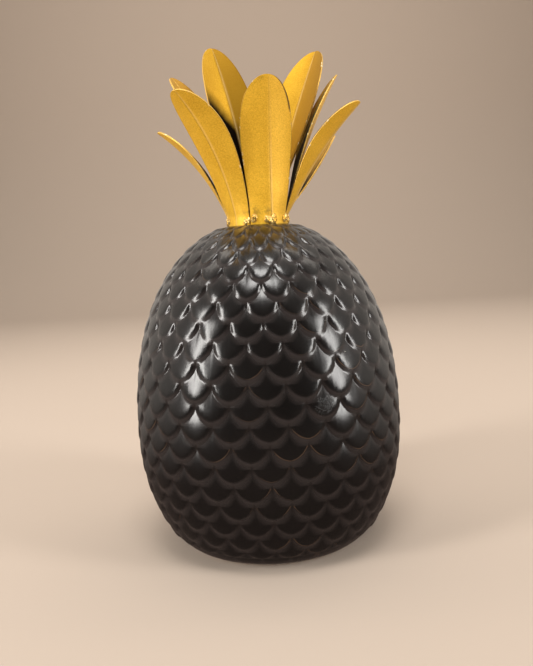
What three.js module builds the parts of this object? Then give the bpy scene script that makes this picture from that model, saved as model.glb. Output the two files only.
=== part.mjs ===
// A glazed pineapple ornament: a scaled egg-shaped body with a crown of ten sheet-metal leaves.
// Millimetres, +Z up. The front faces -Y, and the origin is the middle of the flat underside.
import * as THREE from "three";

// Body outline: two halves of a slightly squared ellipse that meet at the widest ring.
const BODY_RADIUS = 75; // at the widest ring, down in the creases between the scales
const WIDEST_HEIGHT = 67; // of the widest ring above the underside
const DOME_RISE = 114.5; // from the widest ring up to where the dome would close
const BELLY_DEPTH = 90; // from the widest ring down to where the belly would close
const FULLNESS = 2.2; // exponent of the outline: 2 is an ellipse
const EDGE_ROUND = 7; // rounding between the belly and the underside
const EDGE_MIDDLE = { inward: 0.55, up: 0.3 }; // of the rounding, as shares of it
const UNDERSIDE_INWARD = 1.5; // where the underside ends, in from the belly, in roundings

// Scales: rings of overlapping scales, each ring half a scale round from the next.
const SCALES_PER_RING = 25;
const ROW_PITCH = 10.03; // from ring to ring, measured along the outline
const SCALE_RELIEF = 1.3; // height of a scale's lower edge above the creases
const MOUTH_RELIEF_SHARE = 0.45; // share of the relief that is left at the mouth

// Mouth: a shallow round seat in the top, where the crown stands.
const MOUTH_RADIUS = 19.2; // where the scales end
const SEAT_RADIUS = 17.6;
const SEAT_DEPTH = 4;

// Crown: the feet of the leaves stand edge to edge in the seat.
const SHEET = 0.9; // thickness of the metal
const SEAT_CLEARANCE = 0.35; // between the feet and the seat, at the side and below
const FOOT_GAP = 0.5; // between one foot and the next
const FOOT_HEIGHT = 7.5; // from a foot's lower edge to its bend
const BEND_LENGTH = 2.5;
const LEAF_LENGTH = 100; // of a full-sized leaf, from its bend to its tip
const LEAF_WIDTH = 27.5; // of a full-sized leaf, where it is broadest
const FOLD_SLOPE = 0.17; // how far each half of a blade is folded up from the mid crease
const BOW_RADIUS = 48; // bow of a blade from edge to edge
const BROADEST = 0.62; // where a blade is broadest, as a share of its length
const TIP_SHARE = 0.993; // share of its half ellipse that a tip has: 1 would be a point
const OPENED = 0.3; // where a blade has opened from its foot's roundness, as a share of its length
const TURN_LENGTH = 12; // above the feet, over which a blade turns to its own direction
const FIRST_FOOT_ANGLE = 25.5; // degrees round from the front to the middle of the front leaf's foot
const CREASE_STEPS = 200; // in which a leaf's mid crease is worked out
const BLADE_SHARES = [0.12, 0.3, 0.5, 0.7, 0.86, 0.96, 1]; // of a blade's length, where it has corners
const SHEET_SHARES = [-1, -0.5, 0, 0.5, 1]; // the same across it, from edge to edge

// The leaves in order round the seat, from the front anticlockwise seen from above. foot is the
// foot's width against the others. lean is the way that the blade falls and face the way that its
// outer side looks, in degrees from the front. rise and curl are its angles off vertical at the
// bend and at the tip, in degrees. length and width are against those of a full-sized leaf.
const LEAVES = [
  { name: "leaf_front", foot: 79, lean: 6, face: 19, rise: 6, curl: 24, length: 0.71, width: 1.08 },
  { name: "leaf_front_right", foot: 25, lean: 76, face: 66, rise: 26, curl: 48, length: 0.715, width: 0.85 },
  { name: "leaf_right_tall", foot: 22, lean: 110, face: 99, rise: 17, curl: 32, length: 0.865, width: 0.8 },
  { name: "leaf_right_low", foot: 21, lean: 131, face: 103, rise: 54, curl: 35, length: 0.69, width: 0.72 },
  { name: "leaf_back_right", foot: 29, lean: 127, face: 148, rise: 18, curl: 28, length: 1.08, width: 1.06 },
  { name: "leaf_back_left", foot: 34, lean: 227, face: 201, rise: 11, curl: 20, length: 1.07, width: 1.03 },
  { name: "leaf_back", foot: 27, lean: 197, face: 203, rise: 29, curl: 44, length: 0.74, width: 0.8 },
  { name: "leaf_left_tall", foot: 23, lean: 234, face: 231, rise: 11, curl: 38, length: 0.945, width: 0.79 },
  { name: "leaf_left_low", foot: 24, lean: 265, face: 268, rise: 22, curl: 52, length: 0.62, width: 0.75 },
  { name: "leaf_front_left", foot: 60, lean: 318, face: 327, rise: 14, curl: 50, length: 0.735, width: 0.9 },
];

const GLAZE = new THREE.MeshStandardMaterial({ color: "#241f1d", roughness: 0.28, metalness: 0 });
const GOLD = new THREE.MeshStandardMaterial({ color: "#d9a02c", roughness: 0.42, metalness: 1 });

// Collects triangles and shares the vertices that fall on the same spot.
class Skin {
  constructor() {
    this.positions = [];
    this.indices = [];
    this.known = new Map();
  }

  vertex(point) {
    const key = point.toArray().map((value) => Math.round(value * 1e4)).join();
    if (!this.known.has(key)) {
      this.known.set(key, this.positions.length / 3);
      this.positions.push(...point.toArray());
    }
    return this.known.get(key);
  }

  // Corners run anticlockwise, seen from outside.
  triangle(...corners) {
    this.indices.push(...corners.map((corner) => this.vertex(corner)));
  }

  quad(a, b, c, d) {
    this.triangle(a, b, c);
    this.triangle(a, c, d);
  }

  // Joins two rings with as many points, the first below or outside the second.
  band(lower, upper) {
    lower.forEach((point, i) => {
      const next = (i + 1) % lower.length;
      this.quad(point, lower[next], upper[next], upper[i]);
    });
  }

  mesh(name, material) {
    const geometry = new THREE.BufferGeometry();
    geometry.setAttribute("position", new THREE.Float32BufferAttribute(this.positions, 3));
    geometry.setIndex(this.indices);
    geometry.computeVertexNormals();
    const mesh = new THREE.Mesh(geometry, material);
    mesh.name = name;
    return mesh;
  }
}

// A point at an angle round the axis, measured from the front (-Y) towards +X.
function around(angle, radius, height) {
  return new THREE.Vector3(radius * Math.sin(angle), -radius * Math.cos(angle), height);
}

function smooth(t) {
  const x = THREE.MathUtils.clamp(t, 0, 1);
  return x * x * (3 - 2 * x);
}

// The outline from the mouth down to the rounded edge, as a curve in the radius-height plane.
class Outline extends THREE.Curve {
  constructor() {
    super();
    this.arcLengthDivisions = 600;
    this.start = Math.acos((MOUTH_RADIUS / BODY_RADIUS) ** (FULLNESS / 2));
    this.end = -Math.asin(((WIDEST_HEIGHT - EDGE_ROUND) / BELLY_DEPTH) ** (FULLNESS / 2));
  }

  getPoint(t, target = new THREE.Vector2()) {
    const angle = THREE.MathUtils.lerp(this.start, this.end, t);
    const reach = angle > 0 ? DOME_RISE : -BELLY_DEPTH;
    const radius = BODY_RADIUS * Math.cos(angle) ** (2 / FULLNESS);
    const height = WIDEST_HEIGHT + reach * Math.abs(Math.sin(angle)) ** (2 / FULLNESS);
    return target.set(radius, height);
  }
}

const outline = new Outline();
const outlineLength = outline.getLength();
const rows = Math.round(outlineLength / ROW_PITCH);
const mouthHeight = outline.getPoint(0).y;
const seatHeight = mouthHeight - SEAT_DEPTH;

// A point on the body. turn counts scales round from the front, row counts rings down from the
// mouth, and lift is a share of the relief. The last ring ends on the rounded edge.
function bodyPoint(turn, row, lift) {
  const lastFull = rows - 1;
  const beyond = (outlineLength - lastFull * ROW_PITCH) * (row - lastFull);
  const distance = row <= lastFull ? row * ROW_PITCH : lastFull * ROW_PITCH + beyond;
  const u = distance / outlineLength;
  const place = outline.getPointAt(u);
  const along = outline.getTangentAt(u);
  const crowding = THREE.MathUtils.lerp(MOUTH_RELIEF_SHARE, 1, Math.sqrt(place.x / BODY_RADIUS));
  const rise = lift * SCALE_RELIEF * crowding;
  const angle = (turn / SCALES_PER_RING) * 2 * Math.PI;
  return around(angle, place.x - along.y * rise, place.y + along.x * rise);
}

// One scale, seen from outside with its tip down: eight corners in the creases round it, and
// four raised points inside. Across is in scales and down is in rings, from the scale's tip.
const SCALE_POINTS = {
  tip: [0, 0, 0],
  edgeRight: [0.34, -0.22, 0],
  cuspRight: [0.5, -1, 0],
  neckRight: [0.16, -1.22, 0],
  top: [0, -2, 0],
  neckLeft: [-0.16, -1.22, 0],
  cuspLeft: [-0.5, -1, 0],
  edgeLeft: [-0.34, -0.22, 0],
  lip: [0, -0.24, 1],
  cheekRight: [0.27, -0.56, 0.95],
  middle: [0, -1.05, 0.6],
  cheekLeft: [-0.27, -0.56, 0.95],
};
const LOWER_FACETS = [
  ["tip", "edgeRight", "lip"],
  ["edgeRight", "cheekRight", "lip"],
  ["edgeRight", "cuspRight", "cheekRight"],
  ["lip", "cheekRight", "middle"],
  ["lip", "middle", "cheekLeft"],
  ["cuspLeft", "edgeLeft", "cheekLeft"],
  ["edgeLeft", "lip", "cheekLeft"],
  ["edgeLeft", "tip", "lip"],
];
const UPPER_FACETS = [
  ["cuspRight", "neckRight", "cheekRight"],
  ["neckRight", "middle", "cheekRight"],
  ["neckRight", "top", "middle"],
  ["top", "neckLeft", "middle"],
  ["neckLeft", "cheekLeft", "middle"],
  ["neckLeft", "cuspLeft", "cheekLeft"],
];
// In the first ring the mouth's rim cuts the scales off where their necks would be.
const RIM_POINTS = { rim: [0, -1, 0], middle: [0, -0.75, 0.6] };
const RIM_FACETS = [
  ["cuspRight", "middle", "cheekRight"],
  ["cuspRight", "rim", "middle"],
  ["rim", "cuspLeft", "middle"],
  ["cuspLeft", "cheekLeft", "middle"],
];
// Below the last ring only the necks of the next scales show.
const NECK_FACETS = [
  ["foot", "cuspRight", "swell"],
  ["cuspRight", "neckRight", "swell"],
  ["neckRight", "top", "swell"],
  ["top", "neckLeft", "swell"],
  ["neckLeft", "cuspLeft", "swell"],
  ["cuspLeft", "foot", "swell"],
];
const NECK_POINTS = { foot: [0, -1, 0], swell: [0, -1.2, 0.35] };

// Every second ring is turned by half a scale.
function stagger(row) {
  return row % 2 ? 0 : 0.5;
}

function addScale(skin, turn, row, points, facets) {
  for (const facet of facets) {
    const corners = facet.map((name) => {
      const [across, down, lift] = points[name];
      return bodyPoint(turn + across, row + down, lift);
    });
    skin.triangle(...corners);
  }
}

function buildBody() {
  const skin = new Skin();
  const firstPoints = { ...SCALE_POINTS, ...RIM_POINTS };
  const neckPoints = { ...SCALE_POINTS, ...NECK_POINTS };
  for (let i = 0; i < SCALES_PER_RING; i++) {
    addScale(skin, i, 1, firstPoints, [...LOWER_FACETS, ...RIM_FACETS]);
    for (let row = 2; row <= rows; row++) {
      addScale(skin, i + stagger(row), row, SCALE_POINTS, [...LOWER_FACETS, ...UPPER_FACETS]);
    }
    addScale(skin, i + stagger(rows + 1), rows + 1, neckPoints, NECK_FACETS);
  }

  const steps = Array.from({ length: 2 * SCALES_PER_RING }, (_, i) => i / 2);
  const ring = (radius, height) =>
    steps.map((turn) => around((turn / SCALES_PER_RING) * 2 * Math.PI, radius, height));
  const rim = steps.map((turn) => bodyPoint(turn, 0, 0));
  const seatTop = ring(SEAT_RADIUS, mouthHeight);
  const seatFloor = ring(SEAT_RADIUS, seatHeight);
  skin.band(rim, seatTop);
  skin.band(seatTop, seatFloor);
  const seatMiddle = new THREE.Vector3(0, 0, seatHeight);
  seatFloor.forEach((point, i) => {
    skin.triangle(point, seatFloor[(i + 1) % seatFloor.length], seatMiddle);
  });

  const edge = steps.map((turn) => bodyPoint(turn, rows, 0));
  const edgeRadius = outline.getPoint(1).x;
  const edgeMiddle = ring(edgeRadius - EDGE_MIDDLE.inward * EDGE_ROUND, EDGE_MIDDLE.up * EDGE_ROUND);
  const underside = ring(edgeRadius - UNDERSIDE_INWARD * EDGE_ROUND, 0);
  skin.band(edgeMiddle, edge);
  skin.band(underside, edgeMiddle);
  const undersideMiddle = new THREE.Vector3(0, 0, 0);
  underside.forEach((point, i) => {
    skin.triangle(underside[(i + 1) % underside.length], point, undersideMiddle);
  });
  return skin.mesh("body", GLAZE);
}

const footRadius = SEAT_RADIUS - SEAT_CLEARANCE - SHEET / 2;
const footTotal = LEAVES.reduce((sum, leaf) => sum + leaf.foot, 0);
const gapAngle = FOOT_GAP / footRadius;
const bladeStart = FOOT_HEIGHT + BEND_LENGTH;

// The mid crease of one leaf, from the foot's lower edge to the tip, as a list of stations. Each
// holds its place, the way the crease runs, the way the sheet faces, and how far it is along.
function creaseStations(leaf, footAngle) {
  const lean = THREE.MathUtils.degToRad(leaf.lean);
  const face = THREE.MathUtils.degToRad(leaf.face);
  const rise = THREE.MathUtils.degToRad(leaf.rise);
  const curl = THREE.MathUtils.degToRad(leaf.curl);
  const bladeLength = LEAF_LENGTH * leaf.length;
  const total = bladeStart + bladeLength;
  const place = around(footAngle, footRadius, seatHeight + SEAT_CLEARANCE);
  const stations = [];
  for (let i = 0; i <= CREASE_STEPS; i++) {
    const length = (total * i) / CREASE_STEPS;
    const along = Math.max(0, (length - bladeStart) / bladeLength);
    const bend = rise * THREE.MathUtils.clamp((length - FOOT_HEIGHT) / BEND_LENGTH, 0, 1);
    const tilt = THREE.MathUtils.lerp(bend, curl, along);
    const turned = smooth((length - FOOT_HEIGHT) / TURN_LENGTH);
    const heading = THREE.MathUtils.lerp(footAngle, lean, turned);
    const facing = THREE.MathUtils.lerp(footAngle, face, turned);
    const run = around(heading, Math.sin(tilt), Math.cos(tilt));
    if (i > 0) place.addScaledVector(run, total / CREASE_STEPS);
    stations.push({ place: place.clone(), run, facing, along, length });
  }
  return stations;
}

// A point of a leaf's sheet at a station. across runs from -1 at one edge to 1 at the other, and
// side is -1 on the outer face and 1 on the inner face.
function sheetPoint(leaf, footHalfWidth, station, across, side) {
  const { place, run, facing, along } = station;
  const broad = (LEAF_WIDTH * leaf.width) / 2;
  const past = (TIP_SHARE * (along - BROADEST)) / (1 - BROADEST);
  const widening = THREE.MathUtils.lerp(footHalfWidth, broad, smooth(along / BROADEST));
  const halfWidth = along < BROADEST ? widening : broad * Math.sqrt(1 - past * past);
  const opened = smooth(along / OPENED);
  const bow = THREE.MathUtils.lerp(1 / footRadius, 1 / BOW_RADIUS, opened);
  const fold = FOLD_SLOPE * opened;
  const angle = across * halfWidth * bow;
  const reach = Math.sin(angle) / bow;
  const depth = (1 - Math.cos(angle)) / bow + fold * Math.abs(reach);
  // The sheet's own normal, turned by the bow and by the fold.
  const turn = angle + Math.sign(across) * Math.atan(fold);
  const sideways = around(facing + Math.PI / 2, 1, 0);
  const inward = run.clone().cross(sideways).normalize();
  const shift = (side * SHEET) / 2;
  return place
    .clone()
    .addScaledVector(sideways, reach - shift * Math.sin(turn))
    .addScaledVector(inward, depth + shift * Math.cos(turn));
}

function buildLeaf(leaf, footAngle, footSpan) {
  const footHalfWidth = (footSpan * footRadius) / 2;
  const all = creaseStations(leaf, footAngle);
  const nearest = (length) =>
    all.reduce((best, s) => (Math.abs(s.length - length) < Math.abs(best.length - length) ? s : best));
  const bladeLengths = BLADE_SHARES.map((share) => bladeStart + share * LEAF_LENGTH * leaf.length);
  const stations = [0, FOOT_HEIGHT, bladeStart, ...bladeLengths].map(nearest);
  const face = (side) =>
    stations.map((s) => SHEET_SHARES.map((across) => sheetPoint(leaf, footHalfWidth, s, across, side)));
  const outer = face(-1);
  const inner = face(1);
  const skin = new Skin();
  const last = SHEET_SHARES.length - 1;
  for (let i = 0; i + 1 < stations.length; i++) {
    for (let j = 0; j < last; j++) {
      skin.quad(outer[i][j], outer[i][j + 1], outer[i + 1][j + 1], outer[i + 1][j]);
      skin.quad(inner[i][j + 1], inner[i][j], inner[i + 1][j], inner[i + 1][j + 1]);
    }
    skin.quad(outer[i][last], inner[i][last], inner[i + 1][last], outer[i + 1][last]);
    skin.quad(inner[i][0], outer[i][0], outer[i + 1][0], inner[i + 1][0]);
  }
  const tip = stations.length - 1;
  for (let j = 0; j < last; j++) {
    skin.quad(outer[0][j + 1], outer[0][j], inner[0][j], inner[0][j + 1]);
    skin.quad(outer[tip][j], outer[tip][j + 1], inner[tip][j + 1], inner[tip][j]);
  }
  return skin.mesh(leaf.name, GOLD);
}

const ornament = new THREE.Group();
ornament.add(buildBody());
const footAnglePerShare = (2 * Math.PI - LEAVES.length * gapAngle) / footTotal;
let footAngle = THREE.MathUtils.degToRad(FIRST_FOOT_ANGLE);
LEAVES.forEach((leaf, i) => {
  const footSpan = leaf.foot * footAnglePerShare;
  if (i > 0) footAngle += footSpan / 2;
  ornament.add(buildLeaf(leaf, footAngle, footSpan));
  footAngle += footSpan / 2 + gapAngle;
});

export default ornament;
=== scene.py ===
import math

import bpy
import numpy as np
from mathutils import Matrix, Vector


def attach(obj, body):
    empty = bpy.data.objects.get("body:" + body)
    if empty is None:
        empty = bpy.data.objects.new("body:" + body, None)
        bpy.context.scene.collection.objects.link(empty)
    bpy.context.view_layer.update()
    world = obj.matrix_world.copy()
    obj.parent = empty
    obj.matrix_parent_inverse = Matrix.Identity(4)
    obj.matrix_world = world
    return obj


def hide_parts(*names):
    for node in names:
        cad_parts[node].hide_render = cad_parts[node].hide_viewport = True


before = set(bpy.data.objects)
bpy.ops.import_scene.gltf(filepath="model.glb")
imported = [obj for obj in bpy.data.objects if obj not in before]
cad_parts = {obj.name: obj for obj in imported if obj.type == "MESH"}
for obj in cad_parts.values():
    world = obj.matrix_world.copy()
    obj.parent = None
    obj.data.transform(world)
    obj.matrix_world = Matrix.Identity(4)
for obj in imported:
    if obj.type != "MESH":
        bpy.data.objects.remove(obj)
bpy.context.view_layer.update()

MM = 0.001

# The camera stands a little above the mouth of the body and looks slightly down. It is rolled by
# three degrees, so that the upright ornament leans in the picture as it does in the photograph.
eye = Vector((0.0013, -0.3814, 0.1624))
pitch = 0.1186
roll = 0.0553
focal_pixels = 658.0
picture_height_pixels = 666
forward = Vector((0, math.cos(pitch), -math.sin(pitch)))
level_up = Vector((0, math.sin(pitch), math.cos(pitch)))
level_right = Vector((1, 0, 0))
right = math.cos(roll) * level_right - math.sin(roll) * level_up
up = math.sin(roll) * level_right + math.cos(roll) * level_up
camera_data = bpy.data.cameras.new("camera")
camera_data.sensor_width = 36
camera_data.lens = focal_pixels * camera_data.sensor_width / picture_height_pixels
camera = bpy.data.objects.new("camera", camera_data)
camera.matrix_world = Matrix.Translation(eye) @ Matrix((right, up, -forward)).transposed().to_4x4()
bpy.context.scene.collection.objects.link(camera)
bpy.context.scene.camera = camera

# The body is a hollow pineapple of slip-cast stoneware under a near-black glaze. Its scales are
# cast with it, in rings of 25, and each ring is turned by half a scale against the next. The
# crown stands in a shallow round seat in the top. The foot is wiped bare of glaze.
BODY_RADIUS = 75.0
WIDEST_HEIGHT = 67.0
DOME_RISE = 114.5
BELLY_DEPTH = 90.0
FULLNESS = 2.2
EDGE_ROUND = 7.0  # height of the rounded lower edge
UNDERSIDE_INWARD = 1.5  # how far in from it the flat underside begins, in heights of the edge
SCALES_PER_RING = 25
ROW_PITCH = 10.03
SCALE_RELIEF = 1.27
MOUTH_RELIEF_SHARE = 0.45
MOUTH_RADIUS = 19.2
SEAT_RADIUS = 17.6
SEAT_DEPTH = 4.0
SEAT_CORNER = 0.3  # how far the seat's lower corner is cut off
RIM_RISE = 0.15  # how far the rim round the seat stands above the mouth
SCALE_ROUNDING = 0.82  # height of a scale's rounded end, in rings
SCALE_ARC = 0.88  # share of a half ellipse that a scale's end takes up across
SCALE_CREST = 0.35  # how far above its tip a scale stands highest, in rings
SCALE_FALL = 1.2  # how far it falls from there to the cusp above it, as a share of the relief
SCALE_CROWN = 0.14  # how far it falls from its middle to its sides, likewise
SIDE_LIP = 0.11  # width of the step along a scale's rim at its sides, as a share of its ellipse
TIP_LIP = 0.26  # the same at its tip, where the glaze has run and the step is softer
CHEEK_LIP = 0.02  # how much wider the step is between tip and sides


def around(angle, radius, height):
    """Points at an angle round the axis from the front: x is the radius times the sine, and y is
    minus the radius times the cosine."""
    x, y, z = np.broadcast_arrays(radius * np.sin(angle), -radius * np.cos(angle), height)
    return np.stack((x, y, z), axis=-1)


def smooth(t):
    """Eases from 0 to 1: three t squared less two t cubed, with t held between 0 and 1."""
    t = np.clip(t, 0, 1)
    return t * t * (3 - 2 * t)


# The outline is two halves of a squared ellipse: radius = widest radius times the cosine, and
# height = widest height plus the reach times the sine, each to the power of two over the fullness.
outline_samples = 4001
swing = np.linspace(
    math.acos((MOUTH_RADIUS / BODY_RADIUS) ** (FULLNESS / 2)),
    -math.asin(((WIDEST_HEIGHT - EDGE_ROUND) / BELLY_DEPTH) ** (FULLNESS / 2)),
    outline_samples,
)
outline_radius = BODY_RADIUS * np.cos(swing) ** (2 / FULLNESS)
outline_reach = np.where(swing > 0, DOME_RISE, -BELLY_DEPTH)
outline_height = WIDEST_HEIGHT + outline_reach * np.abs(np.sin(swing)) ** (2 / FULLNESS)
outline_steps = np.hypot(np.diff(outline_radius), np.diff(outline_height))
outline_distance = np.concatenate(([0.0], np.cumsum(outline_steps)))
outline_length = outline_distance[-1]
rows = round(outline_length / ROW_PITCH)
mouth_height = outline_height[0]
seat_height = mouth_height - SEAT_DEPTH


def body_point(turn, row, lift):
    """A point on the body: turn in scales round from the front, row in rings down from the mouth,
    moved off the outline along its normal by lift times the relief. The relief runs out at the
    mouth and at the lower edge."""
    last_full = rows - 1
    beyond = (outline_length - last_full * ROW_PITCH) * (row - last_full)
    distance = np.where(row <= last_full, row * ROW_PITCH, last_full * ROW_PITCH + beyond)
    radius = np.interp(distance, outline_distance, outline_radius)
    height = np.interp(distance, outline_distance, outline_height)
    step = 0.5  # distance either way over which the outline's direction is taken
    run_r = (np.interp(distance + step, outline_distance, outline_radius)
             - np.interp(distance - step, outline_distance, outline_radius))
    run_z = (np.interp(distance + step, outline_distance, outline_height)
             - np.interp(distance - step, outline_distance, outline_height))
    run = np.hypot(run_r, run_z)
    crowding = MOUTH_RELIEF_SHARE + (1 - MOUTH_RELIEF_SHARE) * np.sqrt(radius / BODY_RADIUS)
    run_out = smooth(2 * row) * smooth(3 * (rows - row))
    rise = lift * SCALE_RELIEF * crowding * run_out
    angle = turn / SCALES_PER_RING * 2 * np.pi
    return around(angle, radius - run_z / run * rise, height + run_r / run * rise)


# How far the middle of a scale end's ellipse lies above its tip, in rings
end_reach = SCALE_ROUNDING / (1 - math.sqrt(1 - SCALE_ARC ** 2))


def scale_end(across):
    """How far a scale's rounded end lies above its tip, in rings: the lower part of an ellipse, cut
    off where the ends of two scales beside each other meet at an angle."""
    return end_reach * (1 - np.sqrt(1 - (2 * SCALE_ARC * across) ** 2))


# Columns across one scale crowd towards its tip and towards its cusps, and halfway between them
# they are symmetrical, so that the columns of a ring meet those of the rings above and below.
half_columns = 5
crowd = 0.25 * (1 - np.cos(np.pi * np.arange(half_columns + 1) / half_columns))
column = np.concatenate((-crowd[:0:-1], crowd))
# Levels up the shown part of a scale crowd towards its rim, where the step is.
level = np.array([0, 0.018, 0.038, 0.062, 0.095, 0.14, 0.2, 0.3, 0.46, 0.66, 0.85, 1.0])


def lip_width(aside):
    """Width of the step along a scale's rim, for arrays and for wires, by how far to the side it is:
    0 at the tip and 1 at the side. It changes by the square, with a swell between."""
    widening = (aside * aside) * (SIDE_LIP - TIP_LIP)
    return TIP_LIP + widening + (aside * (1 - aside)) * (4 * CHEEK_LIP)


def rim_reach(across, down):
    """How far out a place lies on a scale: 0 in the middle of its end's ellipse and 1 on its rim."""
    below = np.maximum(0, (down + end_reach) / end_reach)
    return np.sqrt((2 * SCALE_ARC * across) ** 2 + below ** 2)


def scale_face(across, down):
    """Height of a scale's face as a share of the relief: 1 at its crest, a parabola up and down the
    body from there, and crowned across, more so towards its tip."""
    fallen = SCALE_FALL * ((down + SCALE_CREST) / (1 + SCALE_ROUNDING - SCALE_CREST)) ** 2
    towards_tip = 0.6 + 1.2 * np.clip(1 + down, 0, 1)
    return 1 - fallen - SCALE_CROWN * (2 * across) ** 2 * towards_tip


def scale_step(across, down):
    """The rounded step along a scale's rim: 0 on the rim, easing to 1 a lip's width inside it."""
    return smooth((1 - rim_reach(across, down)) / lip_width(2 * np.abs(across)))


def scale_lift(across, down):
    """Height over the outline, as a share of the relief. A scale lies like a shingle over the two
    beside it in the ring below, and they lie over the one that is two rings below. Each face
    comes up out of the one under it by the step along its own rim."""
    beside = 0.5 - np.abs(across)
    lowest = scale_face(across, down - 2)
    lower = lowest + (scale_face(beside, down - 1) - lowest) * scale_step(beside, down - 1)
    return lower + (scale_face(across, down) - lower) * scale_step(across, down)


def scale_patch(tip_row, upper_end, lower_end=None):
    """The shown part of the ring of scales with its tips at a row, as a grid of turn, row and lift
    for each scale. A column runs from the scale's own rounded end up to the ends of those above."""
    lower = -scale_end(column) if lower_end is None else lower_end
    down = lower[:, None] + (upper_end - lower)[:, None] * level
    across = column[:, None] + 0 * level
    lift = scale_lift(across, down)
    half_turn = 0.0 if tip_row % 2 else 0.5
    turns = np.arange(SCALES_PER_RING)[:, None, None] + half_turn + across
    return turns, tip_row + down + 0 * turns, lift + 0 * turns


def grid_triangles(count_a, count_b, start=0):
    """Corner numbers of the triangles of a grid of count_a by count_b points, two for each cell."""
    number = start + np.arange(count_a * count_b).reshape(count_a, count_b)
    a, b, c, d = number[:-1, :-1], number[1:, :-1], number[1:, 1:], number[:-1, 1:]
    first, second = np.stack((a, b, c), -1), np.stack((a, c, d), -1)
    return np.concatenate((first.reshape(-1, 3), second.reshape(-1, 3)))


def build_mesh(name, points, triangles, uv):
    """A mesh from points in millimetres that merges those on one spot. Each corner keeps the UV of
    its own point, and triangles that close up to a line are dropped."""
    keys = np.round(points * 1e4).astype(np.int64)  # to a ten-thousandth of a millimetre
    _, first, merged = np.unique(keys, axis=0, return_index=True, return_inverse=True)
    corners = merged.reshape(-1)[triangles]
    open_ones = ((corners[:, 0] != corners[:, 1]) & (corners[:, 1] != corners[:, 2])
                 & (corners[:, 2] != corners[:, 0]))
    corners, own = corners[open_ones], triangles[open_ones]
    mesh = bpy.data.meshes.new(name)
    mesh.vertices.add(len(first))
    mesh.vertices.foreach_set("co", (points[first] * MM).astype(np.float32).ravel())
    mesh.loops.add(corners.size)
    mesh.loops.foreach_set("vertex_index", corners.astype(np.int32).ravel())
    mesh.polygons.add(len(corners))
    mesh.polygons.foreach_set("loop_start", np.arange(0, corners.size, 3, dtype=np.int32))
    mesh.polygons.foreach_set("use_smooth", np.ones(len(corners), dtype=bool))
    mesh.uv_layers.new(name="place")
    mesh.uv_layers[0].data.foreach_set("uv", uv[own.ravel()].astype(np.float32).ravel())
    mesh.update(calc_edges=True)
    piece = bpy.data.objects.new(name, mesh)
    bpy.context.scene.collection.objects.link(piece)
    return piece


# The first ring is cut off straight at the mouth, and the last one at the lower edge.
straight_end = -np.ones_like(column)
ends_above = -1 - np.interp(np.abs(column), crowd, scale_end(crowd)[::-1])
patches = [scale_patch(1, straight_end)]
patches += [scale_patch(row, ends_above) for row in range(2, rows + 1)]
patches.append(scale_patch(rows + 1, ends_above, straight_end))

body_points, body_triangles, body_uv = [], [], []
body_count = 0
for turn, row, lift in patches:
    spots = body_point(turn, row, lift)
    for _ in range(SCALES_PER_RING):
        body_triangles.append(grid_triangles(len(column), len(level), body_count))
        body_count += len(column) * len(level)
    body_points.append(spots.reshape(-1, 3))
    body_uv.append(np.stack((turn.ravel(), row.ravel()), -1))

# The rim, the seat, the rounded lower edge and the underside are rings with the same columns. The
# edge is a curve from the outline's end to the underside, bent towards where its slope leads.
ring_turn = np.arange(SCALES_PER_RING)[:, None] + column[:-1]
ring_turn = np.append(ring_turn.ravel(), SCALES_PER_RING - 0.5)
ring_angle = ring_turn / SCALES_PER_RING * 2 * np.pi
end_samples = 40  # the outline's last samples, over which that slope is taken
edge_radius = outline_radius[-1]
edge_slope = ((outline_radius[-1] - outline_radius[-end_samples])
              / (outline_height[-1] - outline_height[-end_samples]))
corner_radius = edge_radius - EDGE_ROUND * edge_slope
underside_radius = edge_radius - UNDERSIDE_INWARD * EDGE_ROUND
bend = np.linspace(0, 1, 7)
bent_radius = (1 - bend) ** 2 * edge_radius + 2 * bend * (1 - bend) * corner_radius
bent_radius = bent_radius + bend ** 2 * underside_radius
edge_profile = np.stack((bent_radius, (1 - bend) ** 2 * EDGE_ROUND), -1)
lower_profile = np.concatenate((edge_profile, [[underside_radius * 0.5, 0], [0, 0]]))
rim_width = MOUTH_RADIUS - SEAT_RADIUS
seat_profile = np.array([
    [0, seat_height],
    [SEAT_RADIUS * 0.6, seat_height],
    [SEAT_RADIUS - SEAT_CORNER, seat_height],
    [SEAT_RADIUS, seat_height + SEAT_CORNER],
    [SEAT_RADIUS, mouth_height - 2 * SEAT_CORNER],
    [SEAT_RADIUS + 0.15 * rim_width, mouth_height - 0.1],
    [SEAT_RADIUS + 0.4 * rim_width, mouth_height + RIM_RISE],
    [SEAT_RADIUS + 0.7 * rim_width, mouth_height + RIM_RISE],
    [MOUTH_RADIUS, mouth_height],
])
# V goes on past the last ring below, and before the first one above.
lower_v = rows + np.arange(len(lower_profile)) / 8
seat_v = np.linspace(-1.6, 0, len(seat_profile))
for profile, v in ((lower_profile, lower_v), (seat_profile, seat_v)):
    spots = around(ring_angle[:, None], profile[None, :, 0], profile[None, :, 1])
    body_triangles.append(grid_triangles(len(ring_angle), len(profile), body_count)[:, ::-1])
    body_points.append(spots.reshape(-1, 3))
    body_uv.append(np.stack(np.broadcast_arrays(ring_turn[:, None], v[None, :]), -1).reshape(-1, 2))
    body_count += len(ring_angle) * len(profile)

scaled_body = build_mesh("scaled_body", np.concatenate(body_points),
                         np.concatenate(body_triangles), np.concatenate(body_uv))


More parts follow.
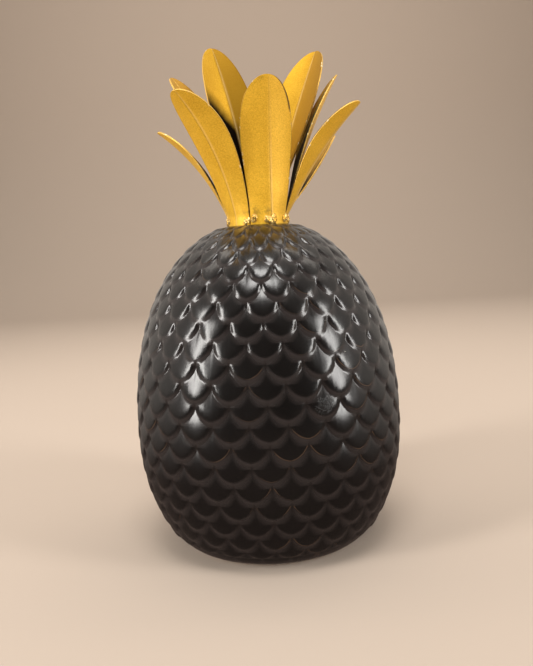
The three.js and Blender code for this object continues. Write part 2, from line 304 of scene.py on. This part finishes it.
class Wire:
    """One output of a shader node. Sums, products and powers of wires add Math nodes."""

    def __init__(self, tree, socket):
        self.tree = tree
        self.socket = socket

    def math(self, operation, *others):
        return node(self.tree, "ShaderNodeMath", {"operation": operation}, self, *others)

    def __add__(self, other):
        return self.math("ADD", other)

    __radd__ = __add__

    def __mul__(self, other):
        return self.math("MULTIPLY", other)

    __rmul__ = __mul__

    def __sub__(self, other):
        return self.math("SUBTRACT", other)

    def __rsub__(self, other):
        return node(self.tree, "ShaderNodeMath", {"operation": "SUBTRACT"}, other, self)

    def __truediv__(self, other):
        return self.math("DIVIDE", other)

    def __pow__(self, other):
        return self.math("POWER", other)

    def clamped(self):
        return node(self.tree, "ShaderNodeClamp", {}, self)

    def ramp(self, start, stop):
        """0 at start and 1 at stop, straight between them and held beyond."""
        return ((self - start) * (1 / (stop - start))).clamped()


def node(tree, kind, settings, *values, output=0, **named):
    """Adds a node: its settings first, then a value or a wire for each input, in order or by name."""
    made = tree.nodes.new(kind)
    for key, value in settings.items():
        if key == "stops":
            ramp = made.color_ramp
            for place, colour in value:
                stop = ramp.elements.new(place)
                stop.color = (*colour, 1)
            ramp.elements.remove(ramp.elements[0])
            ramp.elements.remove(ramp.elements[-1] if value[-1][0] < 1 else ramp.elements[-2])
        else:
            setattr(made, key, value)
    for key, value in [*enumerate(values), *named.items()]:
        socket = made.inputs[key.replace("_", " ") if isinstance(key, str) else key]
        if isinstance(value, Wire):
            tree.links.new(value.socket, socket)
        elif value is not None:
            socket.default_value = value
    return Wire(tree, made.outputs[output]) if made.outputs else made


def new_material(name):
    """An empty node material, and the tree to build in."""
    material = bpy.data.materials.new(name)
    material.use_nodes = True
    tree = material.node_tree
    tree.nodes.clear()
    return material, tree


def blend_colours(tree, share, first, second):
    """Mixes two colours by a share."""
    made = tree.nodes.new("ShaderNodeMix")
    made.data_type = "RGBA"
    for key, value in ((0, share), (6, first), (7, second)):
        if isinstance(value, Wire):
            tree.links.new(value.socket, made.inputs[key])
        else:
            made.inputs[key].default_value = value if key == 0 else (*value, 1)
    return Wire(tree, made.outputs[2])


def rim_place(tree):
    """Distance from the nearest scale's rounded rim, as a share of its ellipse and negative inside
    the scale, and the width of the step there. The UV map holds how many scales round and how many
    rings down."""
    spot = node(tree, "ShaderNodeUVMap", {"uv_map": "place"})
    turn = node(tree, "ShaderNodeSeparateXYZ", {}, spot, output="X")
    row = node(tree, "ShaderNodeSeparateXYZ", {}, spot, output="Y")
    ring = row.math("CEIL")
    half = ring.math("PINGPONG", 1.0) * -0.5 + 0.5
    across = (turn + half + 0.5).math("FLOORED_MODULO", 1.0) - 0.5
    below = ((row - ring + end_reach) / end_reach).math("MAXIMUM", 0.0)
    distance = ((across * (2 * SCALE_ARC)) ** 2 + below ** 2) ** 0.5 - 1
    return distance, lip_width((across * 2).math("ABSOLUTE"))


def near_spot(tree, place, spot, reach):
    """A soft patch on a piece: 1 up to a third of the reach from a spot, and 0 from the reach on.
    The spot and the reach are in millimetres."""
    apart = node(tree, "ShaderNodeVectorMath", {"operation": "DISTANCE"}, place,
                 tuple(value * MM for value in spot), output="Value")
    return apart.ramp(reach * MM, reach * MM / 3)


glaze, tree = new_material("near_black_glaze")
place = node(tree, "ShaderNodeTexCoord", {}, output="Object")
grain = node(tree, "ShaderNodeTexNoise", {}, place, Scale=900.0, Detail=2.0, Roughness=0.6)
cloud = node(tree, "ShaderNodeTexNoise", {}, place, Scale=45.0, Detail=3.0, Roughness=0.5)
high = node(tree, "ShaderNodeSeparateXYZ", {}, place, output="Z")
rim, lip = rim_place(tree)
glaze_colour = blend_colours(tree, cloud, (0.0035, 0.0029, 0.0027), (0.007, 0.0058, 0.0053))
# On the steps between the scales a brownish grey is painted in, a painted reflection of the
# brighter surround the steps catch. It deepens to black again over the face below.
step_reflection = (rim + lip * 0.95).ramp(0, 0.0909) * rim.ramp(0.16, -0.1733)
glaze_colour = blend_colours(tree, step_reflection * 0.75, glaze_colour, (0.034, 0.0272, 0.0258))
# Along the edge of each face a broken brownish hairline is painted: partly the clay, where the
# glaze has run thinnest, and partly a painted highlight where the lip's edge catches the light.
hairline_and_glint = (rim + lip * 0.85).math("ABSOLUTE").ramp(0.0222, 0) * cloud.ramp(0.5444, 0.6556)
glaze_colour = blend_colours(tree, hairline_and_glint * 0.45, glaze_colour, (0.14, 0.080, 0.045))
# In one place on the right the glaze has boiled and is finely pitted.
pits = node(tree, "ShaderNodeTexNoise", {}, place, Scale=1500.0, Detail=1.0, Roughness=0.5)
blotch = node(tree, "ShaderNodeTexNoise", {}, place, Scale=260.0, Detail=3.0, Roughness=0.7)
boiled = near_spot(tree, place, (26.5, -70.1, 88), 6)
boiled = boiled + near_spot(tree, place, (30, -69, 89.5), 4.5) * 0.7
boiled = (boiled + blotch * 3.2).ramp(1.9, 2.4) * boiled.ramp(0, 0.5)
pitted = boiled * pits.ramp(0.5, 0.4286)
chalky = boiled * pits.ramp(0.57, 0.6256)
glaze_colour = blend_colours(tree, chalky, glaze_colour, (0.016, 0.014, 0.013))
# A few specks of dust lie on it.
speck = node(tree, "ShaderNodeTexVoronoi", {}, place, Scale=85.0, output="Distance")
speck = speck.ramp(0.028, 0.023) * cloud.ramp(0.56, 0.61)
glaze_colour = blend_colours(tree, speck, glaze_colour, (0.55, 0.52, 0.48))
# The foot is wiped bare, down to the buff clay.
bare_foot = (high - cloud * 0.0006).ramp(0.0008, 0.00055)
glaze_colour = blend_colours(tree, bare_foot, glaze_colour, (0.42, 0.33, 0.25))
glaze_relief = grain * 0.06 - pitted * 0.3
glaze_bump = node(tree, "ShaderNodeBump", {}, Strength=0.8, Distance=0.0002, Height=glaze_relief)
glaze_roughness = 0.17 + grain * 0.05 + cloud * 0.06
glaze_roughness = glaze_roughness + pitted * 0.2 + speck * 0.5 + bare_foot * 0.6
glaze_shader = node(tree, "ShaderNodeBsdfPrincipled", {}, Base_Color=glaze_colour,
                    Roughness=glaze_roughness, IOR=1.52, Normal=glaze_bump)
node(tree, "ShaderNodeOutputMaterial", {}, glaze_shader)
scaled_body.data.materials.append(glaze)
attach(scaled_body, "root")
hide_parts("body")

# The crown is ten leaves cut from thin sheet brass, folded along the middle and bowed by hand,
# and painted gold. Their feet are rolled to stand side by side in the seat, and brazed together.
SHEET = 0.9
SEAT_CLEARANCE = 0.35
FOOT_GAP = 0.5
FOOT_HEIGHT = 7.5
BEND_LENGTH = 2.5
LEAF_LENGTH = 100.0
LEAF_WIDTH = 27.5
FOLD_SLOPE = 0.17
FOLD_SOFTNESS = 0.4  # half width over which the mid crease is rounded
BOW_RADIUS = 48.0
BROADEST = 0.62  # where a leaf is broadest, as a share of its length
OPENED = 0.3  # by where it has opened from the foot's curve to its own bow, likewise
TURN_LENGTH = 12.0  # over which it turns from its foot's direction to its own
FIRST_FOOT_ANGLE = 25.5
# name, foot width against the others, lean and face from the front in degrees, rise at the foot and
# curl at the tip off vertical in degrees, and length and width against those of a full-sized leaf
LEAVES = [
    ("leaf_front", 79, 6, 19, 6, 24, 0.71, 1.08),
    ("leaf_front_right", 25, 76, 66, 26, 48, 0.715, 0.85),
    ("leaf_right_tall", 22, 110, 99, 17, 32, 0.865, 0.8),
    ("leaf_right_low", 21, 131, 103, 54, 35, 0.69, 0.72),
    ("leaf_back_right", 29, 127, 148, 18, 28, 1.08, 1.06),
    ("leaf_back_left", 34, 227, 201, 11, 20, 1.07, 1.03),
    ("leaf_back", 27, 197, 203, 29, 44, 0.74, 0.8),
    ("leaf_left_tall", 23, 234, 231, 11, 38, 0.945, 0.79),
    ("leaf_left_low", 24, 265, 268, 22, 52, 0.62, 0.75),
    ("leaf_front_left", 60, 318, 327, 14, 50, 0.735, 0.9),
]
foot_radius = SEAT_RADIUS - SEAT_CLEARANCE - SHEET / 2
gap_angle = FOOT_GAP / foot_radius
angle_per_share = (2 * math.pi - len(LEAVES) * gap_angle) / sum(leaf[1] for leaf in LEAVES)


def leaf_sheet(shape, across, stations, side):
    """A leaf's sheet on a grid. The mid crease starts upright at the foot, bends by rise and then
    curls evenly to its tip. From it the sheet goes to both sides, bowed on a radius and folded up
    by a slope, to a half width that swells from the foot and ends in a half ellipse. side moves
    the point off the middle of the sheet along its normal, in half thicknesses."""
    foot_angle, foot_half_width, lean, face, rise, curl, length, width = shape
    total = FOOT_HEIGHT + BEND_LENGTH + length
    steps = 1200
    run_length = np.linspace(0, total, steps + 1)
    along = np.maximum(0, (run_length - FOOT_HEIGHT - BEND_LENGTH) / length)
    bent = rise * np.clip((run_length - FOOT_HEIGHT) / BEND_LENGTH, 0, 1)
    tilt = bent + (curl - bent) * along
    turned = smooth((run_length - FOOT_HEIGHT) / TURN_LENGTH)
    heading = foot_angle + (lean - foot_angle) * turned
    facing = foot_angle + (face - foot_angle) * turned
    run = around(heading, np.sin(tilt), np.cos(tilt))
    start = around(foot_angle, foot_radius, seat_height + SEAT_CLEARANCE)
    crease = start + np.concatenate((np.zeros((1, 3)), np.cumsum(run[1:] * total / steps, axis=0)))
    pick = np.searchsorted(run_length, stations * total - 1e-9)
    crease, run, facing, along = crease[pick], run[pick], facing[pick], along[pick]
    broad = LEAF_WIDTH * width / 2
    past = np.clip((along - BROADEST) / (1 - BROADEST), 0, 1)
    widening = foot_half_width + (broad - foot_half_width) * smooth(along / BROADEST)
    half_width = np.where(along < BROADEST, widening, broad * np.sqrt(1 - past ** 2))[:, None]
    opened = smooth(along / OPENED)[:, None]
    bow = 1 / foot_radius + (1 / BOW_RADIUS - 1 / foot_radius) * opened
    fold = FOLD_SLOPE * opened
    angle = across * half_width * bow
    reach = np.sin(angle) / bow
    rounded_reach = np.sqrt(reach ** 2 + FOLD_SOFTNESS ** 2)
    depth = (1 - np.cos(angle)) / bow + fold * (rounded_reach - FOLD_SOFTNESS)
    turn = angle + reach / rounded_reach * np.arctan(fold)
    sideways = around(facing + np.pi / 2, 1.0, 0.0)
    inward = np.cross(run, sideways)
    inward /= np.linalg.norm(inward, axis=1, keepdims=True)
    shift = side * SHEET / 2
    return (crease[:, None] + sideways[:, None] * (reach - shift * np.sin(turn))[..., None]
            + inward[:, None] * (depth + shift * np.cos(turn))[..., None])


def leaf_mesh(name, shape):
    """One leaf as a closed sheet: the section runs along the outer face, round one edge, back along
    the inner face and round the other edge. U is across from -1 to 1 on the outer face and runs on
    from 3 to 5 on the inner one, and V is up from the foot in millimetres."""
    face_columns = 19
    across_face = np.sin(np.linspace(-1, 1, face_columns) * np.pi / 2)
    one_face = np.ones(face_columns)
    one_edge = np.ones(3)
    round_edge = np.array([0.5, 0.0, -0.5])
    across = np.concatenate((across_face, one_edge, across_face[::-1], -one_edge, across_face[:1]))
    side = np.concatenate((-one_face, -round_edge, one_face, round_edge, -one_face[:1]))
    section = np.concatenate((across_face, [1.5, 2.0, 2.5], 4 - across_face[::-1],
                              [5.5, 6.0, 6.5, 7.0]))
    # Stations up the leaf crowd towards its tip. The foot's end is closed from its middle.
    blade_stations = 34
    total = FOOT_HEIGHT + BEND_LENGTH + shape[-2]
    blade_from = (FOOT_HEIGHT + BEND_LENGTH) / total
    ease = 1 - np.cos(np.linspace(0, 1, blade_stations) * np.pi / 2)
    up_foot = [0, FOOT_HEIGHT * 0.5 / total]
    up_bend = np.linspace(FOOT_HEIGHT / total, blade_from, 5)[:-1]
    stations = np.concatenate((up_foot, up_bend, 1 - (1 - blade_from) * ease[::-1]))
    spots = leaf_sheet(shape, across[None, :], stations, side[None, :])
    foot_middle = leaf_sheet(shape, across[None, :], stations[:1], 0 * side[None, :])
    spots = np.concatenate((foot_middle, spots))
    heights = np.concatenate((stations[:1], stations)) * total
    uv = np.stack(np.broadcast_arrays(section[None, :], heights[:, None]), -1).reshape(-1, 2)
    return build_mesh(name, spots.reshape(-1, 3), grid_triangles(*spots.shape[:2])[:, ::-1], uv)


gold, tree = new_material("gold_paint")
place = node(tree, "ShaderNodeTexCoord", {}, output="Object")
spot = node(tree, "ShaderNodeUVMap", {"uv_map": "place"})
section = node(tree, "ShaderNodeSeparateXYZ", {}, spot, output="X")
inside = section.math("GREATER_THAN", 2.0) * section.math("LESS_THAN", 6.0)
across = section - inside * 4
from_crease = across.math("ABSOLUTE")
grain = node(tree, "ShaderNodeTexNoise", {}, place, Scale=1500.0, Detail=2.0, Roughness=0.7)
cloud = node(tree, "ShaderNodeTexNoise", {}, place, Scale=70.0, Detail=4.0, Roughness=0.6)
ragged = node(tree, "ShaderNodeTexNoise", {}, place, Scale=260.0, Detail=3.0, Roughness=0.6)
mottled = (cloud * 1.4 + grain * 3.0).ramp(1.7, 2.7)
paint = blend_colours(tree, mottled, (0.68, 0.362, 0.017), (0.88, 0.515, 0.042))
# Low down inside the crown the inner faces are painted near black, a painted shadow cast by the
# leaves in front. The limit slants one way on the left and the other way on the right.
high = node(tree, "ShaderNodeSeparateXYZ", {}, place, output="Z")
aside = node(tree, "ShaderNodeSeparateXYZ", {}, place, output="X")
flat = node(tree, "ShaderNodeVectorMath", {"operation": "MULTIPLY"}, place, (1, 1, 0))
outward = node(tree, "ShaderNodeVectorMath", {"operation": "LENGTH"}, flat, output="Value")
shadow_left = (high + aside * 1.2 - ragged * 0.003).ramp(0.2315, 0.2215)
shadow_left = shadow_left * aside.ramp(0.006, 0) * aside.ramp(-0.036, -0.028)
shadow_left = shadow_left * outward.ramp(0.046, 0.038)
shadow_right = (high - aside * 2.07 - ragged * 0.003).ramp(0.174, 0.165)
shadow_right = shadow_right * aside.ramp(-0.002, 0.004) * outward.ramp(0.058, 0.040)
painted_shadow = inside * (shadow_left + shadow_right).clamped()
# Inner faces are painted darker as shade in the crown, and one half of each darker still.
inner_shade = inside * (across.ramp(0, 0.0714) * 0.45 + 0.4)
paint = blend_colours(tree, inner_shade, paint, (0.32, 0.158, 0.006))
# Then the painted shadow low inside the crown goes on.
paint = blend_colours(tree, painted_shadow, paint, (0.004, 0.002, 0.001))
# Beside the cut edges the paint is darker, as a painted shade.
# On them it is rubbed pale, with chips.
on_face = section.math("PINGPONG", 2.0).math("LESS_THAN", 1.01)
round_section = section.math("PINGPONG", 4.0)
edge_shade = from_crease.ramp(0.955, 0.9883) * on_face
cut = round_section.ramp(1.02, 1.145) * round_section.ramp(2.98, 2.855)
chip = ragged.ramp(0.62, 0.6825) * from_crease.ramp(0.94, 0.9733)
paint = blend_colours(tree, edge_shade * 0.45, paint, (0.20, 0.10, 0.02))
paint = blend_colours(tree, cut * 0.25, paint, (0.90, 0.66, 0.28))
paint = blend_colours(tree, chip, paint, (0.85, 0.72, 0.45))
# The front leaf's right edge is rolled back by a hair, and near the tip a dark line is painted
# there as its shade.
front_tip = high.ramp(0.2365, 0.239) * aside.ramp(0.007, 0.009) * aside.ramp(0.023, 0.021)
rolled_edge_shade = from_crease.ramp(0.90, 0.925) * front_tip * across.math("GREATER_THAN", 0.0)
paint = blend_colours(tree, rolled_edge_shade * 0.85, paint, (0.075, 0.032, 0.006))
# The mid crease is a scored groove, with painted shade in it and a painted highlight beside it.
# Both are faint high on the front leaf.
faint = high.ramp(0.205, 0.230) * aside.ramp(0.001, 0.003) * aside.ramp(0.018, 0.016)
groove_and_shade = from_crease.ramp(0.03846, 0) * (1 - faint * 0.7)
crease_highlight = (across - 0.06).math("ABSOLUTE").ramp(0.0769, 0) * (1 - faint * 0.8)
paint = blend_colours(tree, crease_highlight * 0.3, paint, (0.98, 0.70, 0.30))
paint = blend_colours(tree, groove_and_shade * 0.3, paint, (0.30, 0.15, 0.02))
# Soot from the brazing marks the front foot, and the front leaf's tip is darker in a small patch.
smudges = near_spot(tree, place, (-3, -17, 185.8), 6) + near_spot(tree, place, (5.8, -17, 184), 5)
smudges = smudges + near_spot(tree, place, (4.6, -32.5, 252.2), 2.2)
smudges = smudges + near_spot(tree, place, (6.6, -32.5, 252.4), 2)
smudged = (smudges * (ragged * 7 - 3)).clamped()
paint = blend_colours(tree, smudged * 0.55, paint, (0.16, 0.08, 0.012))
relief = grain * 0.00006 + ragged * 0.00012 - groove_and_shade * 0.0003
gold_bump = node(tree, "ShaderNodeBump", {}, Strength=0.6, Distance=1.0, Height=relief)
gold_shader = node(tree, "ShaderNodeBsdfPrincipled", {}, Base_Color=paint,
                   Metallic=0.35 + inside * 0.45 + painted_shadow * 0.2,
                   Roughness=0.40 + grain * 0.12 + painted_shadow * 0.2, Normal=gold_bump)
node(tree, "ShaderNodeOutputMaterial", {}, gold_shader)

# The feet stand side by side, starting from the middle of the front leaf's. Drops of braze lie
# there and at each joint.
foot_angle = math.radians(FIRST_FOOT_ANGLE)
brazed_angles = [foot_angle]
for number, (name, foot, lean, face, rise, curl, length, width) in enumerate(LEAVES):
    foot_span = foot * angle_per_share
    if number > 0:
        foot_angle += foot_span / 2
    angles = np.radians((lean, face, rise, curl))
    shape = (foot_angle, foot_span * foot_radius / 2, *angles, LEAF_LENGTH * length, width)
    leaf = leaf_mesh("painted_" + name, shape)
    foot_angle += foot_span / 2 + gap_angle
    brazed_angles.append(foot_angle - gap_angle / 2)
    leaf.data.materials.append(gold)
    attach(leaf, "root")
    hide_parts(name)

# Where the feet are brazed together, drops of braze have run over them and set. They are small
# crinkled lumps, pressed against the feet just above the mouth, and painted over.
BEADS_AT_JOINT = 5
BEAD_SPREAD = 0.17  # how far to either side of a joint they lie, in radians
BEAD_HALF_WIDTH = 1.35
BEAD_HALF_HEIGHT = 1.9
BEAD_HALF_DEPTH = 0.7
BEAD_BASE = 0.7  # height above the mouth from which each is lifted by a share of its own height
BEAD_STAND = 0.1  # how far their middles stand off the feet
BEAD_SEED = 5
chance = np.random.default_rng(BEAD_SEED)
bead_count = BEADS_AT_JOINT * len(brazed_angles)
bead_angle = np.repeat(brazed_angles, BEADS_AT_JOINT)
bead_angle = bead_angle + chance.uniform(-BEAD_SPREAD, BEAD_SPREAD, bead_count)
bead_size = chance.uniform(0.6, 1.3, (bead_count, 1, 1))
bead_lift = BEAD_HALF_HEIGHT * bead_size[:, 0, 0] * chance.uniform(0.6, 1.7, bead_count)
bead_height = mouth_height + BEAD_BASE + bead_lift
bead_phase = chance.uniform(0, 2 * np.pi, (4, bead_count, 1, 1))


def bead_points():
    """Crinkled ellipsoids, as a grid each. The radius is 1 plus two products of sines, which die
    out at the poles."""
    turn = np.linspace(0, 2 * np.pi, 19)[None, :, None]
    fall = np.linspace(0, np.pi, 10)[None, None, :]
    crinkle = 0.20 * np.sin(3 * turn + bead_phase[0]) * np.sin(4 * fall + bead_phase[1])
    crinkle = crinkle + 0.12 * np.sin(7 * turn + bead_phase[2]) * np.sin(6 * fall + bead_phase[3])
    size = bead_size * (1 + crinkle * np.sin(fall))
    aside = BEAD_HALF_WIDTH * size * np.cos(turn) * np.sin(fall)
    out = BEAD_HALF_DEPTH * size * np.sin(turn) * np.sin(fall)
    rise = BEAD_HALF_HEIGHT * size * np.cos(fall) + 0 * turn
    radius = foot_radius + SHEET / 2 + BEAD_STAND
    middle = around(bead_angle, radius, bead_height)[:, None, None, :]
    outwards = around(bead_angle, 1.0, 0.0)[:, None, None, :]
    sideways = around(bead_angle + np.pi / 2, 1.0, 0.0)[:, None, None, :]
    upwards = np.array([0.0, 0.0, 1.0])
    spread = aside[..., None] * sideways + out[..., None] * outwards
    return middle + spread + rise[..., None] * upwards


bead_spots = bead_points()
_, count_round, count_down, _ = bead_spots.shape
bead_triangles = np.concatenate([
    grid_triangles(count_round, count_down, number * count_round * count_down)
    for number in range(bead_count)])
bead_turn = bead_angle[:, None, None] + np.zeros((1, count_round, count_down))
bead_uv = np.stack((bead_turn, bead_spots[..., 2]), -1).reshape(-1, 2)
beads = build_mesh("braze_beads", bead_spots.reshape(-1, 3), bead_triangles, bead_uv)
braze, tree = new_material("painted_braze")
place = node(tree, "ShaderNodeTexCoord", {}, output="Object")
crinkled = node(tree, "ShaderNodeTexNoise", {}, place, Scale=900.0, Detail=3.0, Roughness=0.65)
patchy = node(tree, "ShaderNodeTexNoise", {}, place, Scale=300.0, Detail=2.0, Roughness=0.5)
braze_colour = blend_colours(tree, patchy.ramp(0.35, 0.6833), (0.62, 0.33, 0.03), (0.95, 0.72, 0.30))
braze_bump = node(tree, "ShaderNodeBump", {}, Strength=0.9, Distance=0.0005, Height=crinkled)
braze_shader = node(tree, "ShaderNodeBsdfPrincipled", {}, Base_Color=braze_colour, Metallic=0.8,
                    Roughness=0.18 + patchy * 0.2, Normal=braze_bump)
node(tree, "ShaderNodeOutputMaterial", {}, braze_shader)
beads.data.materials.append(braze)
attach(beads, "root")

# The floor is one pale sheet that curves up into a backdrop far behind the ornament. Its sizes are
# in metres. The ornament doesn't mirror it.
FLOOR_FRONT = -3.0
FLOOR_BACK = 1.6
FLOOR_BEND = 0.8
FLOOR_HALF_WIDTH = 4.0
BACKDROP_HEIGHT = 2.4
flat_count, wall_count = 8, 4
quarter = np.linspace(0, 1, 13)[1:] * np.pi / 2
floor_run = np.concatenate((np.linspace(FLOOR_FRONT, FLOOR_BACK, flat_count),
                            FLOOR_BACK + FLOOR_BEND * np.sin(quarter),
                            np.full(wall_count, FLOOR_BACK + FLOOR_BEND)))
floor_rise = np.concatenate((np.zeros(flat_count), FLOOR_BEND - FLOOR_BEND * np.cos(quarter),
                             np.linspace(BACKDROP_HEIGHT / 2, BACKDROP_HEIGHT, wall_count)))
floor_x = np.linspace(-FLOOR_HALF_WIDTH, FLOOR_HALF_WIDTH, 9)
floor_grid = np.broadcast_arrays(floor_x[:, None], floor_run[None, :], floor_rise[None, :])
floor_spots = np.stack(floor_grid, -1)
floor = build_mesh("floor", floor_spots.reshape(-1, 3) / MM, grid_triangles(*floor_spots.shape[:2]),
                   floor_spots[..., :2].reshape(-1, 2))
paper, tree = new_material("pale_paper")
paper_shader = node(tree, "ShaderNodeBsdfPrincipled", {}, Base_Color=(0.48, 0.395, 0.325, 1),
                    Roughness=0.9)
node(tree, "ShaderNodeOutputMaterial", {}, paper_shader)
floor.data.materials.append(paper)
floor.visible_glossy = False

# The light is soft: a tall window-like panel on each side in front, a broad one above, a fill in
# front that the ornament doesn't mirror, and a dim surround that is brownish low down.
world = bpy.data.worlds.new("surround")
bpy.context.scene.world = world
world.use_nodes = True
world.node_tree.nodes.clear()
sky_way = node(world.node_tree, "ShaderNodeTexCoord", {}, output="Generated")
sky_height = node(world.node_tree, "ShaderNodeSeparateXYZ", {}, sky_way, output="Z")
sky_depth = node(world.node_tree, "ShaderNodeSeparateXYZ", {}, sky_way, output="Y")
sky_stops = [
    (0.12, (0.03, 0.027, 0.025)),
    (0.3, (0.12, 0.11, 0.10)),
    (0.5, (0.66, 0.61, 0.56)),
    (0.9, (0.72, 0.65, 0.58)),
]
sky_ramp = node(world.node_tree, "ShaderNodeValToRGB", {"stops": sky_stops}, sky_depth * 0.5 + 0.5)
sky_low = node(world.node_tree, "ShaderNodeMapRange", {"interpolation_type": "SMOOTHSTEP"},
               sky_height, -0.4, 0.12, 1.0, 0.0)
sky_colour = blend_colours(world.node_tree, sky_low, sky_ramp, (0.135, 0.096, 0.078))
sky = node(world.node_tree, "ShaderNodeBackground", {}, sky_colour, 1.0)
node(world.node_tree, "ShaderNodeOutputWorld", {}, sky)


def panel(name, direction, distance, wide, high, power, colour):
    """A soft rectangular light that faces the ornament's middle."""
    light = bpy.data.lights.new(name, "AREA")
    light.shape = "RECTANGLE"
    light.size = wide
    light.size_y = high
    light.energy = power
    light.color = colour
    made = bpy.data.objects.new(name, light)
    aim = Vector((0, 0, 0.13))
    out = Vector(direction).normalized()
    made.location = aim + out * distance
    made.rotation_euler = out.to_track_quat("Z", "Y").to_euler()
    bpy.context.scene.collection.objects.link(made)
    return made


panel("left_window", (-0.88, -0.47, 0.36), 1.3, 0.24, 0.9, 14, (1.0, 0.97, 0.93))
panel("right_window", (0.88, -0.46, 0.33), 1.3, 0.26, 0.9, 11.5, (1.0, 0.98, 0.95))
panel("top_front", (0.0, -0.33, 0.94), 1.3, 0.5, 0.3, 7.5, (1.0, 0.98, 0.95))
front_fill = panel("front_fill", (-0.3, -0.93, 0.2), 1.6, 0.8, 0.8, 12, (1.0, 0.98, 0.95))
front_fill.visible_glossy = False

# One more panel, which turns its back to the ornament, washes the backdrop.
wash = bpy.data.lights.new("wall_wash", "AREA")
wash.size = 1.5
wash.energy = 25
wash.color = (1.0, 0.93, 0.85)
washer = bpy.data.objects.new("wall_wash", wash)
washer.location = (0, 0.5, 1.5)
washer.rotation_euler = (math.radians(60), 0, 0)
bpy.context.scene.collection.objects.link(washer)

bpy.context.scene.view_settings.view_transform = "Standard"
